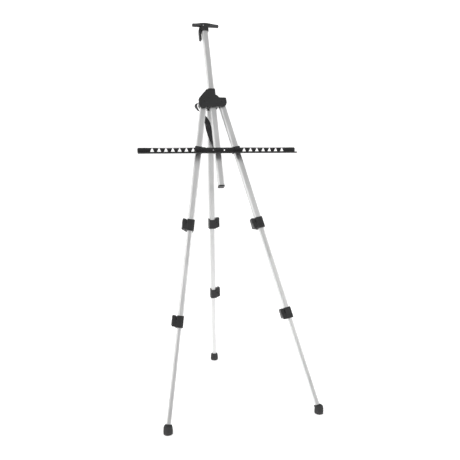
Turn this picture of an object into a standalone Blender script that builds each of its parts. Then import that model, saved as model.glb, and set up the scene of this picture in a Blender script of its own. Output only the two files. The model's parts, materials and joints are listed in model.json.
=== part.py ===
"""Telescopic aluminium tripod easel with a clamped mast, a T-shaped head and a folding display tray.

Metres, +Z up, the viewer's side at -Y. The floor is z = 0, under the middle of the easel's bounding box.
"""

import math

import bmesh
import bpy
from mathutils import Matrix, Vector

MM = 0.001

# Stance
LEAN = math.radians(26.0)  # the mast and the front legs lean back by this much
SPLAY = math.radians(10.8)  # each front leg, in the leaning plane
REAR_LEAN = math.radians(3.3)
HUB_HEIGHT = 1.224  # the front leg pivots above the floor
PIVOT_X = 40.4 * MM
REAR_PIVOT_Y = 60.0 * MM
REAR_PIVOT_Z = 1.250
CENTRE_Y = 207.93 * MM  # from the middle of the bounding box back to the front leg pivots

# Square tubes: outer sides, wall and corner radius
LARGE = 26.4 * MM
MEDIUM = 22.0 * MM
SMALL = 17.6 * MM
WALL = 1.2 * MM
TUBE_CORNER = 4.6 * MM
BORE_CORNER = 2.8 * MM
CORNER_STEPS = 3
GAP = 0.3 * MM  # running clearance
GUIDE = 1.4 * MM  # a guide flange is this much wider than its own tube
PIN_HOLE = 3.3 * MM

# Legs, measured down the leg from its pivot
UPPER_LOCK = 581.0 * MM
FRONT_LOWER_LOCK = 977.0 * MM
REAR_LOWER_LOCK = 918.0 * MM
LEFT_KNUCKLE = (-24.0 * MM, 24.0 * MM)  # bottom and top, from the pivot
RIGHT_KNUCKLE = (-16.5 * MM, 21.0 * MM)
STEM = 30.0 * MM  # how far each knuckle reaches into its tube
REAR_TUBE_TOP = 58.0 * MM
OVERLAP = 62.0 * MM  # length of each inner tube that stays inside the outer one
LOCK_SEAT = 9.0 * MM  # the outer tube ends this far below its lock's middle
LEVER_DROP = 14.0 * MM  # each lever's pin is this far below its lock's middle
LEVER_OUT = 9.2 * MM  # and this far out from the outer tube's side
LEVER_THICK = 11.7 * MM  # from the pin to the lever's outer face
FRONT_FOOT_SHIFT = (3.0 * MM, 7.0 * MM)  # inward and back, from where the leg's axis meets the floor
FOOT_EMBED = 12.0 * MM

# Mast and head, measured up the mast from the hub's centre
CLAMP_PIN = (-22.3 * MM, 57.0 * MM)
MAST_BOTTOM = -398.0 * MM
MAST_TOP = 385.0 * MM
HEAD_TUBE_BOTTOM = 52.0 * MM
HEAD_TUBE_TOP = 403.0 * MM
HEAD_BASE = 392.2 * MM  # the underside of the head's middle
HEAD_WING = 396.5 * MM  # the underside of its wings
HEAD_HALF = 62.5 * MM
HEAD_SHIFT = 4.0 * MM  # the head's middle is this far to the right of the mast
HEAD_FRONT = -13.6 * MM
WING_BACK = -2.0 * MM

# Tray, with Y measured from the front leg pivots
TRAY_BOTTOM = 1004.6 * MM
TRAY_TOP = 1028.4 * MM
TRAY_HALF = 348.0 * MM
TRAY_FRONT = -134.3 * MM  # front of the upright face
TRAY_THICK = 3.6 * MM
PLATE_BACK = -127.4 * MM  # back of the centre's plate, which the wings fold in front of
LEDGE_THICK = 5.6 * MM
LEDGE_END = 38.0 * MM
LEDGE_MIDDLE = 28.0 * MM
BOSS_X = 84.6 * MM
BOSS_Z = 1016.8 * MM
EAR = 15.0 * MM
WING_START = 101.0 * MM
NOTCH_PITCH = 29.0 * MM
NOTCH_FIRST = 112.9 * MM
NOTCH_COUNT = 7
NOTCH_BASE = 17.0 * MM
PAD_LAYER = 17.3 * MM  # the tray's mounting pads start this far in front of the legs' plane
CLIP_LAYER = 17.0 * MM  # and the leg clips end this far in front of it

# Strap
STRAP_WIDTH = 28.0 * MM
STRAP_THICK = 1.6 * MM


# ---------------------------------------------------------------- materials

def material(name, color, roughness, metallic=0.0):
    found = bpy.data.materials.get(name)
    if found:
        return found
    made = bpy.data.materials.new(name)
    made.use_nodes = True
    shader = made.node_tree.nodes["Principled BSDF"]
    shader.inputs["Base Color"].default_value = (*color, 1.0)
    shader.inputs["Roughness"].default_value = roughness
    shader.inputs["Metallic"].default_value = metallic
    made.diffuse_color = (*color, 1.0)
    return made


def aluminium():
    return material("anodised_aluminium", (0.72, 0.72, 0.71), 0.35, 1.0)


def plastic():
    return material("black_plastic", (0.035, 0.035, 0.037), 0.45)


def rubber():
    return material("black_rubber", (0.045, 0.045, 0.045), 0.8)


def steel():
    return material("steel", (0.60, 0.60, 0.60), 0.3, 1.0)


def black_steel():
    return material("black_steel", (0.06, 0.06, 0.062), 0.4, 1.0)


def webbing():
    return material("webbing", (0.05, 0.05, 0.052), 0.9)


# ---------------------------------------------------------------- frames

def empty(name, matrix, parent=None):
    """A frame that pieces hang from; matrix is in world space."""
    frame = bpy.data.objects.new(name, None)
    bpy.context.collection.objects.link(frame)
    if parent:
        frame.parent = parent
        frame.matrix_local = parent.matrix_world.inverted() @ matrix
    else:
        frame.matrix_world = matrix
    bpy.context.view_layer.update()
    return frame


def leaning_matrix():
    """The hub's frame: +Z up the mast, -Y towards the viewer, square to the leaning plane."""
    return Matrix.Translation((0.0, CENTRE_Y, HUB_HEIGHT)) @ Matrix.Rotation(-LEAN, 4, "X")


def front_leg_matrix(side):
    """side is -1 for the left leg and 1 for the right; +Z runs up the leg."""
    turn = Matrix.Rotation(-side * SPLAY, 4, "Y")
    return leaning_matrix() @ Matrix.Translation((side * PIVOT_X, 0.0, 0.0)) @ turn


def rear_leg_matrix():
    """Turned half round, so that -Y still points away from the mast."""
    place = Matrix.Translation((0.0, CENTRE_Y + REAR_PIVOT_Y, REAR_PIVOT_Z))
    return place @ Matrix.Rotation(-REAR_LEAN, 4, "X") @ Matrix.Rotation(math.pi, 4, "Z")


# ---------------------------------------------------------------- shapes

def new_object(name, bm, look, parent, offset=(0.0, 0.0, 0.0)):
    bmesh.ops.remove_doubles(bm, verts=bm.verts, dist=1e-6)
    bmesh.ops.recalc_face_normals(bm, faces=bm.faces)
    mesh = bpy.data.meshes.new(name)
    bm.to_mesh(mesh)
    bm.free()
    mesh.materials.append(look)
    mesh.shade_smooth()
    mesh.set_sharp_from_angle(angle=math.radians(32))
    made = bpy.data.objects.new(name, mesh)
    bpy.context.collection.objects.link(made)
    made.parent = parent
    made.location = offset
    return made


def loft(loops):
    """A closed solid through equal-length loops, capped at both ends."""
    bm = bmesh.new()
    rings = [[bm.verts.new(point) for point in loop] for loop in loops]
    for lower, upper in zip(rings, rings[1:]):
        count = len(lower)
        for i in range(count):
            j = (i + 1) % count
            bm.faces.new((lower[i], lower[j], upper[j], upper[i]))
    bm.faces.new(list(reversed(rings[0])))
    bm.faces.new(rings[-1])
    return bm


def arc(centre, radius, start, end, steps):
    """Points on a circle, in two dimensions, with the angles in degrees."""
    angles = [math.radians(start + (end - start) * i / steps) for i in range(steps + 1)]
    return [(centre[0] + radius * math.cos(a), centre[1] + radius * math.sin(a)) for a in angles]


def rounded_rectangle(low, high, radius, steps=CORNER_STEPS):
    """Anticlockwise outline in two dimensions, from two opposite corners."""
    corners = (
        ((high[0] - radius, low[1] + radius), -90),
        ((high[0] - radius, high[1] - radius), 0),
        ((low[0] + radius, high[1] - radius), 90),
        ((low[0] + radius, low[1] + radius), 180),
    )
    points = []
    for centre, start in corners:
        points += arc(centre, radius, start, start + 90, steps)
    return points


def inset(outline, amount):
    """The outline drawn in by the same amount along every edge."""
    count = len(outline)
    area = 0.0
    for i in range(count):
        a, b = outline[i], outline[(i + 1) % count]
        area += a[0] * b[1] - b[0] * a[1]
    inward = 1.0 if area > 0 else -1.0
    normals = []
    for i in range(count):
        a, b = Vector(outline[i]), Vector(outline[(i + 1) % count])
        edge = (b - a).normalized()
        normals.append(Vector((-edge.y, edge.x)) * inward)
    points = []
    for i in range(count):
        before, after = normals[i - 1], normals[i]
        step = (before + after) / (1.0 + before.dot(after))
        points.append((outline[i][0] + step.x * amount, outline[i][1] + step.y * amount))
    return points


def bar(outline, low, high, chamfer=0.0):
    """An outline in X and Z, drawn out along Y, with its two end edges chamfered."""
    stations = [(low, 0.0), (high, 0.0)]
    if chamfer:
        stations = [(low, chamfer), (low + chamfer, 0.0), (high - chamfer, 0.0), (high, chamfer)]
    rings = []
    for y, amount in stations:
        points = inset(outline, amount) if amount else outline
        rings.append([(x, y, z) for x, z in points])
    return loft(rings)


def post(outline, low, high, chamfer=0.0):
    """An outline in X and Y, drawn out along Z."""
    bm = bar(outline, -high, -low, chamfer)
    bmesh.ops.rotate(bm, verts=bm.verts, matrix=Matrix.Rotation(math.radians(-90), 3, "X"))
    return bm


def square(side, radius, steps=CORNER_STEPS):
    half = side / 2
    return rounded_rectangle((-half, -half), (half, half), radius, steps)


def clearance(side):
    """The outline of a bore that a square tube of this size runs in."""
    return square(side + 2 * GAP, BORE_CORNER, 1)


def rod(radius, low, high, sides=16, axis="Z", chamfer=0.0):
    """A round bar along one axis."""
    outline = arc((0.0, 0.0), radius, 0, 360 - 360 / sides, sides - 1)
    bm = bar(outline, low, high, chamfer)
    if axis == "Z":
        bmesh.ops.rotate(bm, verts=bm.verts, matrix=Matrix.Rotation(math.radians(90), 3, "X"))
    elif axis == "X":
        bmesh.ops.rotate(bm, verts=bm.verts, matrix=Matrix.Rotation(math.radians(-90), 3, "Z"))
    return bm


def turned(profile, sides=20):
    """A solid of revolution about Z from (radius, height) pairs, bottom to top."""
    loops = []
    for radius, height in profile:
        loops.append([(x, y, height) for x, y in arc((0, 0), radius, 0, 360 - 360 / sides, sides - 1)])
    return loft(loops)


def shift(bm, offset):
    bmesh.ops.translate(bm, verts=bm.verts, vec=offset)
    return bm


def guide(name, bm, parent):
    """A hidden shape that cuts or joins another."""
    tool = new_object(name, bm, plastic(), parent)
    tool.hide_render = True
    tool.display_type = "WIRE"
    return tool


def combine(target, operation, tools):
    for tool in tools:
        step = target.modifiers.new(tool.name, "BOOLEAN")
        step.operation = operation
        step.solver = "EXACT"
        step.object = tool


def square_tube(name, side, low, high, parent, look=None):
    """A hollow square tube with rounded corners, open at both ends."""
    outer = square(side, TUBE_CORNER)
    inner = square(side - 2 * WALL, TUBE_CORNER - WALL)
    loops = [
        [(x, y, low) for x, y in outer],
        [(x, y, high) for x, y in outer],
        [(x, y, high) for x, y in inner],
        [(x, y, low) for x, y in inner],
    ]
    bm = bmesh.new()
    rings = [[bm.verts.new(point) for point in loop] for loop in loops]
    for i, ring in enumerate(rings):
        following = rings[(i + 1) % len(rings)]
        for j in range(len(ring)):
            k = (j + 1) % len(ring)
            bm.faces.new((ring[j], ring[k], following[k], following[j]))
    return new_object(name, bm, look or aluminium(), parent)


def plug(name, side, top, parent):
    """A moulded plug that closes a tube's end, with its flange above the tube."""
    inner = side - 2 * WALL - 2 * GAP
    stem = post(square(inner, TUBE_CORNER - WALL), top - 12 * MM, top + GAP)
    flange = post(square(side + GUIDE, TUBE_CORNER), top + GAP, top + 3 * MM)
    body = new_object(name, stem, plastic(), parent)
    combine(body, "UNION", [guide(name + "_flange", flange, parent)])
    return body


# ---------------------------------------------------------------- leg locks

def lock_housing(name, outer, inner, height, parent, offset):
    """The sleeve at the end of an outer tube, open round the inner tube, with ears for the lever."""
    half = height / 2
    outer_half = outer / 2
    left = -outer_half - 3.2 * MM
    right = outer_half + 2.4 * MM
    deep = outer_half + 3.9 * MM
    far = -outer_half - LEVER_OUT - LEVER_THICK + 0.8 * MM
    ear = 3.7 * MM
    shell = post(rounded_rectangle((left, -deep), (right, deep), 3.0 * MM), -half, half, 0.9 * MM)
    body = new_object(name, shell, plastic(), parent, offset)
    square_ear = [
        (far, -half + 1.5 * MM),
        (left + 2 * MM, -half + 1.5 * MM),
        (left + 2 * MM, 0.0),
        (far + 3 * MM, 0.0),
        (far, -3 * MM),
    ]
    slanted_ear = [
        (far, -half + 9 * MM),
        (left + 2 * MM, -half + 1.5 * MM),
        (left + 2 * MM, 0.0),
        (far + 3 * MM, 0.0),
        (far, -3 * MM),
    ]
    joins = (
        ("_outer_ear", bar(square_ear, -deep + 0.2 * MM, -deep + ear + 0.4 * MM, 0.4 * MM)),
        ("_inner_ear", bar(slanted_ear, deep - ear - 0.4 * MM, deep - 0.2 * MM, 0.4 * MM)),
    )
    slot = bar(
        rounded_rectangle((far - 12 * MM, -half - 2 * MM), (left - GAP, half + 2 * MM), 0.5 * MM, 1),
        -deep + ear,
        deep - ear,
    )
    notch = rounded_rectangle((-outer_half + 1 * MM, half - 6 * MM), (outer_half - 1 * MM, half + 9 * MM), 3 * MM)
    cuts = (
        ("_slot", slot),
        ("_wide_bore", post(clearance(outer), -LOCK_SEAT - GAP, half + 4 * MM)),
        ("_tight_bore", post(clearance(inner), -half - 4 * MM, 0.0)),
        ("_notch", bar(notch, 0.0, deep + 4 * MM)),
    )
    for operation, shapes in (("UNION", joins), ("DIFFERENCE", cuts)):
        tools = [guide(name + tag, bm, parent) for tag, bm in shapes]
        for tool in tools:
            tool.location = offset
        combine(body, operation, tools)
    return body


def lock_hinge(outer):
    """The lever's pin in the lock's own frame."""
    return Vector((-outer / 2 - LEVER_OUT, 0.0, -LEVER_DROP))


def lock_lever(name, outer, height, rise, parent):
    """The cam lever, drawn about its pin: a thick plate that stands against the housing."""
    reach = height / 2 + LEVER_DROP + rise
    cam = 5.2 * MM
    profile = [
        *arc((0.0, 0.0), cam, 200, 360, 7),
        (cam, reach - 5 * MM),
        (cam - 1.6 * MM, reach - 2 * MM),
        (-2.4 * MM, reach),
        (-LEVER_THICK + 1 * MM, reach),
        (-LEVER_THICK, reach - 1 * MM),
        (-LEVER_THICK, 2 * MM),
        (-LEVER_THICK + 2.4 * MM, 0.0),
    ]
    wide = outer / 2 - 0.4 * MM
    return new_object(name, bar(profile, -wide, wide, 1.0 * MM), plastic(), parent)


def leg_lock(prefix, outer, inner, height, distance, rise, outer_frame):
    """Returns the lever's hinge frame after making the housing and the lever."""
    offset = Vector((0.0, 0.0, -distance))
    lock_housing(prefix + "_housing", outer, inner, height, outer_frame, offset)
    place = outer_frame.matrix_world @ Matrix.Translation(offset + lock_hinge(outer))
    hinge = empty(prefix + "_lever_hinge", place, outer_frame)
    lock_lever(prefix + "_lever", outer, height, rise, hinge)
    return hinge


# ---------------------------------------------------------------- legs

def front_knuckle(name, side, span, parent):
    """The fork at a front leg's top: it straddles the hub's lug and reaches into the upper tube."""
    bottom, top = span
    inner = 13.4 * MM
    outer = 21.0 * MM
    shoulder = top - 17 * MM
    outline = [
        (-inner, bottom),
        (outer - 7 * MM, bottom),
        (outer, bottom + 8 * MM),
        (outer, shoulder),
        (outer - 3 * MM, shoulder + 4 * MM),
        (5 * MM, top - 2.5 * MM),
        (1 * MM, top),
        (-3 * MM, top - 1 * MM),
        *arc((0.0, 0.0), inner, 125, 180, 4),
    ]
    if side < 0:
        outline = [(-x, z) for x, z in reversed(outline)]
    body = new_object(name, bar(outline, -16 * MM, 16 * MM, 1.6 * MM), plastic(), parent)
    stem_side = LARGE - 2 * WALL - 2 * GAP
    stem = post(square(stem_side, TUBE_CORNER - WALL), bottom - STEM, bottom + 3 * MM, 1 * MM)
    slot = bar(
        rounded_rectangle((-60 * MM, -12.8 * MM), (60 * MM, 45 * MM), 1 * MM, 1),
        -5.6 * MM,
        5.6 * MM,
    )
    pin_hole = rod(PIN_HOLE, -30 * MM, 30 * MM, 12, "Y")
    combine(body, "UNION", [guide(name + "_stem", stem, parent)])
    cuts = (("_slot", slot), ("_pin_hole", pin_hole))
    combine(body, "DIFFERENCE", [guide(name + tag, bm, parent) for tag, bm in cuts])
    return body


def rear_knuckle(name, parent):
    """The rear leg's top: a tongue that turns between the hub's rear cheeks, over a stem in the tube."""
    bottom = GAP - REAR_TUBE_TOP
    half = LARGE / 2
    outline = [
        (-half, bottom),
        (half, bottom),
        (half, 0.0),
        *arc((0.0, 0.0), half, 0, 180, 10)[1:],
    ]
    bm = bar(outline, -half, half, 1.0 * MM)
    bmesh.ops.rotate(bm, verts=bm.verts, matrix=Matrix.Rotation(math.radians(90), 3, "Z"))
    body = new_object(name, bm, plastic(), parent)
    stem_side = LARGE - 2 * WALL - 2 * GAP
    stem = post(square(stem_side, TUBE_CORNER - WALL), bottom - STEM, bottom + 3 * MM, 1 * MM)
    pin_hole = rod(PIN_HOLE, -30 * MM, 30 * MM, 12, "X")
    combine(body, "UNION", [guide(name + "_stem", stem, parent)])
    combine(body, "DIFFERENCE", [guide(name + "_pin_hole", pin_hole, parent)])
    return body


def foot(name, length, foot_shift, collar_top, parent):
    """A rubber boot: an upright drum with a slanting collar that holds the lower tube."""
    sole = Vector((0.0, 0.0, -length))
    drum = turned(
        [
            (12.5 * MM, 0.0),
            (15.8 * MM, 1.6 * MM),
            (17.6 * MM, 5.0 * MM),
            (17.8 * MM, 9.0 * MM),
            (16.6 * MM, 27.0 * MM),
            (15.4 * MM, 30.4 * MM),
            (13.0 * MM, 32.0 * MM),
        ]
    )
    shift(drum, foot_shift)
    upright = parent.matrix_world.to_3x3().inverted().to_4x4()
    bmesh.ops.transform(drum, matrix=upright, verts=drum.verts)
    body = new_object(name, shift(drum, sole), rubber(), parent)
    collar = post(square(SMALL + 7 * MM, 5 * MM), -length + 14 * MM, -length + collar_top, 1.0 * MM)
    bore = post(clearance(SMALL), -length + FOOT_EMBED - GAP, -length + 80 * MM)
    combine(body, "UNION", [guide(name + "_collar", collar, parent)])
    combine(body, "DIFFERENCE", [guide(name + "_bore", bore, parent)])
    return body


def leg(prefix, matrix, top, lower_lock, length, rise, foot_shift, collar_top):
    """The tubes, locks and foot of one leg. The knuckle is made separately."""
    upper = empty(prefix + "_fold_axis", matrix)
    middle = empty(prefix + "_middle_slide_axis", matrix, upper)
    lower = empty(prefix + "_lower_slide_axis", matrix, middle)
    square_tube(prefix + "_upper_tube", LARGE, -UPPER_LOCK - LOCK_SEAT, -top, upper)
    square_tube(prefix + "_middle_tube", MEDIUM, -lower_lock - LOCK_SEAT, -UPPER_LOCK + OVERLAP, middle)
    square_tube(prefix + "_lower_tube", SMALL, -length + FOOT_EMBED, -lower_lock + OVERLAP, lower)
    plug(prefix + "_middle_plug", MEDIUM, -UPPER_LOCK + OVERLAP, middle)
    plug(prefix + "_lower_plug", SMALL, -lower_lock + OVERLAP, lower)
    leg_lock(prefix + "_upper_lock", LARGE, MEDIUM, 48 * MM, UPPER_LOCK, rise, upper)
    leg_lock(prefix + "_lower_lock", MEDIUM, SMALL, 46 * MM, lower_lock, rise, middle)
    foot(prefix + "_foot", length, foot_shift, collar_top, lower)
    return upper


def front_leg_length():
    return HUB_HEIGHT / (math.cos(SPLAY) * math.cos(LEAN))


def rear_leg_length():
    return REAR_PIVOT_Z / math.cos(REAR_LEAN)


# ---------------------------------------------------------------- hub

def rear_pivot_in_hub():
    """The rear leg's pivot as (y, z) in the hub's frame."""
    rise = REAR_PIVOT_Z - HUB_HEIGHT
    along = REAR_PIVOT_Y * math.sin(LEAN) + rise * math.cos(LEAN)
    behind = REAR_PIVOT_Y * math.cos(LEAN) - rise * math.sin(LEAN)
    return behind, along


# The hub's front cover as (x, z): it hides both front knuckles
COVER = (
    (-64.5, 6.0), (-66.0, -14.0), (-62.5, -28.5), (-57.0, -33.4), (-36.5, -33.4), (-32.0, -28.0),
    (24.0, -27.8), (45.0, -25.0), (57.0, -20.4), (62.0, -8.0), (61.0, 13.0), (58.0, 17.6),
    (29.5, 17.6), (23.5, 25.0), (18.0, 30.4), (5.0, 32.6), (-9.0, 32.8), (-27.0, 29.0), (-38.0, 23.0), (-52.0, 17.0),
)
COVER_FRONT = -21.5 * MM
COVER_BACK = -16.6 * MM


def hub_body(parent):
    """The moulding that the mast slides through, with lugs for the front legs and cheeks behind."""
    behind, along = rear_pivot_in_hub()
    block = post(rounded_rectangle((-26 * MM, -20 * MM), (26 * MM, 27 * MM), 5 * MM), -18 * MM, 27 * MM, 1.6 * MM)
    body = new_object("hub_body", block, plastic(), parent)
    collar = post(rounded_rectangle((-16.5 * MM, -17.6 * MM), (16.5 * MM, 16.5 * MM), 5 * MM), 20 * MM, 66 * MM, 2 * MM)
    lugs = bar(
        [
            *arc((PIVOT_X, 0.0), 12 * MM, -90, 90, 8),
            *arc((-PIVOT_X, 0.0), 12 * MM, 90, 270, 8),
        ],
        -5.2 * MM,
        5.2 * MM,
        0.6 * MM,
    )
    cheek_outline = [
        (10 * MM, -12 * MM),
        (24 * MM, -12 * MM),
        *[(x, z) for x, z in arc((behind, along), 10 * MM, -50, 130, 8)],
        (10 * MM, along + 2 * MM),
    ]
    cheeks = bar(cheek_outline, -18 * MM, 18 * MM, 0.8 * MM)
    bmesh.ops.rotate(cheeks, verts=cheeks.verts, matrix=Matrix.Rotation(math.radians(90), 3, "Z"))
    cover = bar([(x * MM, z * MM) for x, z in COVER], COVER_FRONT, COVER_BACK)
    joins = [("hub_collar_guide", collar), ("hub_lugs_guide", lugs), ("hub_cheeks_guide", cheeks)]
    web = bar(clamp_web(), -19.4 * MM, COVER_BACK + 0.4 * MM, 0.6 * MM)
    joins += [("hub_cover_guide", cover), ("hub_web_guide", web)]
    for tag, front in (("hub_front_ear", -12.4 * MM), ("hub_back_ear", 8.6 * MM)):
        joins.append((tag, bar(clamp_ear(), front, front + 3.8 * MM, 0.6 * MM)))
    combine(body, "UNION", [guide(tag, bm, parent) for tag, bm in joins])
    bore = post(clearance(LARGE), -60 * MM, 90 * MM)
    fork = post(rounded_rectangle((-LARGE / 2 - GAP, 20 * MM), (LARGE / 2 + GAP, 80 * MM), 0.8 * MM, 1), -60 * MM, 90 * MM)
    pins = [rod(PIN_HOLE, -30 * MM, 30 * MM, 12, "Y") for _ in range(2)]
    shift(pins[0], (-PIVOT_X, 0.0, 0.0))
    shift(pins[1], (PIVOT_X, 0.0, 0.0))
    rear_pin = shift(rod(PIN_HOLE, -30 * MM, 30 * MM, 12, "X"), (0.0, behind, along))
    cuts = (
        ("hub_bore", bore),
        ("hub_fork", fork),
        ("hub_left_pin_hole", pins[0]),
        ("hub_right_pin_hole", pins[1]),
        ("hub_rear_pin_hole", rear_pin),
    )
    combine(body, "DIFFERENCE", [guide(tag, bm, parent) for tag, bm in cuts])
    return body


def clamp_ear():
    """The outline of one ear beside the hub's collar, round the clamp lever's pin."""
    x, z = CLAMP_PIN
    return [(x + 9 * MM, z - 6 * MM), *reversed(arc((x, z), 6 * MM, 90, 270, 6)), (x + 9 * MM, z + 6 * MM)]


def clamp_web():
    """The outline of the shoulder in front of the clamp lever, between the collar and the cover."""
    x, z = CLAMP_PIN
    return [
        (x + 9 * MM, 18 * MM),
        (x + 9 * MM, z + 3 * MM),
        (x + 2 * MM, z + 3 * MM),
        (x - 6 * MM, z - 3 * MM),
        (-37.0 * MM, 40.0 * MM),
        (-45.0 * MM, 29.0 * MM),
        (-44.0 * MM, 18.0 * MM),
    ]


def mast_clamp_lever(hub):
    """The flip lever that slants from the collar down over the left leg's knuckle."""
    x, z = CLAMP_PIN
    place = hub.matrix_world @ Matrix.Translation((x, 0.0, z))
    hinge = empty("mast_clamp_axis", place, hub)
    outline = [
        (2.2 * MM, 4.9 * MM),
        (-3.0 * MM, 4.2 * MM),
        (-17.0 * MM, -10.6 * MM),
        (-38.0 * MM, -36.6 * MM),
        (-39.2 * MM, -40.0 * MM),
        (-36.0 * MM, -42.0 * MM),
        (-32.4 * MM, -39.2 * MM),
        (-14.0 * MM, -19.6 * MM),
        (-3.6 * MM, -6.4 * MM),
        *arc((0.0, 0.0), 4.9 * MM, -80, 50, 4),
    ]
    return new_object("mast_clamp_lever", bar(outline, -8.2 * MM, 8.2 * MM, 1.0 * MM), plastic(), hinge)


def rivet(name, low, high, axis, parent, offset):
    """A plain pin with a domed head beyond each end of what it holds."""
    head = 5.6 * MM
    pin_radius = PIN_HOLE - GAP
    profile = [
        (head * 0.55, low - 2.0 * MM),
        (head * 0.9, low - 1.2 * MM),
        (head, low - GAP),
        (pin_radius, low - GAP),
        (pin_radius, high + GAP),
        (head, high + GAP),
        (head * 0.9, high + 1.2 * MM),
        (head * 0.55, high + 2.0 * MM),
    ]
    bm = turned(profile, 12)
    if axis == "Y":
        bmesh.ops.rotate(bm, verts=bm.verts, matrix=Matrix.Rotation(math.radians(-90), 3, "X"))
    elif axis == "X":
        bmesh.ops.rotate(bm, verts=bm.verts, matrix=Matrix.Rotation(math.radians(90), 3, "Y"))
    return new_object(name, bm, black_steel(), parent, offset)


# ---------------------------------------------------------------- mast and head

def mast(hub):
    """The square mast and what is fixed to it; returns the frame that slides through the hub."""
    slide = empty("mast_slide_axis", hub.matrix_world, hub)
    square_tube("mast_tube", LARGE, MAST_BOTTOM, MAST_TOP - LOCK_SEAT, slide)
    inner = LARGE - 2 * WALL - 2 * GAP
    stem = post(square(inner, TUBE_CORNER - WALL), MAST_BOTTOM - GAP, MAST_BOTTOM + 14 * MM)
    flange = post(square(LARGE + 1.6 * MM, TUBE_CORNER), MAST_BOTTOM - 6 * MM, MAST_BOTTOM - GAP, 1 * MM)
    cap = new_object("mast_end_cap", flange, plastic(), slide)
    combine(cap, "UNION", [guide("mast_end_cap_stem", stem, slide)])
    return slide


def head_lock(slide):
    """The short collar at the mast's top, whose lever hangs down on the left."""
    low, high = MAST_TOP - 12 * MM, MAST_TOP + 6.5 * MM
    hinge_x, hinge_z = -23.0 * MM, MAST_TOP + 0.5 * MM
    shell = post(rounded_rectangle((-16.4 * MM, -16.4 * MM), (16.8 * MM, 16.4 * MM), 3.6 * MM), low, high, 1 * MM)
    body = new_object("head_lock_housing", shell, plastic(), slide)
    ears = bar(
        [(-12 * MM, hinge_z - 5 * MM), (-12 * MM, hinge_z + 5 * MM), *arc((hinge_x, hinge_z), 5 * MM, 90, 270, 6)],
        -12.4 * MM,
        12.4 * MM,
        0.6 * MM,
    )
    slot = bar(
        rounded_rectangle((-40 * MM, low - 10 * MM), (-16.4 * MM - GAP, high + 10 * MM), 1 * MM, 1),
        -8.6 * MM,
        8.6 * MM,
    )
    wide = post(clearance(LARGE), low - 5 * MM, MAST_TOP - LOCK_SEAT + GAP)
    tight = post(clearance(MEDIUM), low - 5 * MM, high + 5 * MM)
    combine(body, "UNION", [guide("head_lock_ears", ears, slide)])
    cuts = (("head_lock_slot", slot), ("head_lock_wide_bore", wide), ("head_lock_tight_bore", tight))
    combine(body, "DIFFERENCE", [guide(tag, bm, slide) for tag, bm in cuts])
    place = slide.matrix_world @ Matrix.Translation((hinge_x, 0.0, hinge_z))
    hinge = empty("head_lock_lever_axis", place, slide)
    outline = [
        *arc((0.0, 0.0), 4.8 * MM, 10, 170, 6),
        (-6.6 * MM, -9 * MM),
        (-7.4 * MM, -55 * MM),
        (-6.0 * MM, -58 * MM),
        (2.6 * MM, -59 * MM),
        (4.4 * MM, -56 * MM),
        (4.8 * MM, -8 * MM),
    ]
    new_object("head_lock_lever", bar(outline, -8.2 * MM, 8.2 * MM, 0.9 * MM), plastic(), hinge)


def mast_rivet(slide):
    """A small oval rivet on the mast's front, just under the head lock."""
    outline = [(x * 1.5, z) for x, z in arc((0.0, 0.0), 3.4 * MM, 0, 330, 11)]
    head = bar(outline, -LARGE / 2 - GAP - 1.4 * MM, -LARGE / 2 - GAP, 0.6 * MM)
    shift(head, (0.0, 0.0, MAST_TOP - 20 * MM))
    new_object("mast_rivet", head, steel(), slide)


def wing_outline():
    """The head's front outline: two level wings whose top rises to the middle."""
    right = []
    steps = 7
    tip = HEAD_HALF - 2.4 * MM
    for i in range(steps):
        part = i / (steps - 1)
        rise = 7.2 * MM * math.cos(part * math.pi / 2) ** 2
        right.append((part * tip, HEAD_WING + 12 * MM + rise))
    right += [
        (HEAD_HALF, HEAD_WING + 9.8 * MM),
        (HEAD_HALF, HEAD_WING + 2 * MM),
        (HEAD_HALF - 2 * MM, HEAD_WING),
    ]
    left = [(-x, z) for x, z in reversed(right[1:])]
    return [(x + HEAD_SHIFT, z) for x, z in right + left]


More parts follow.
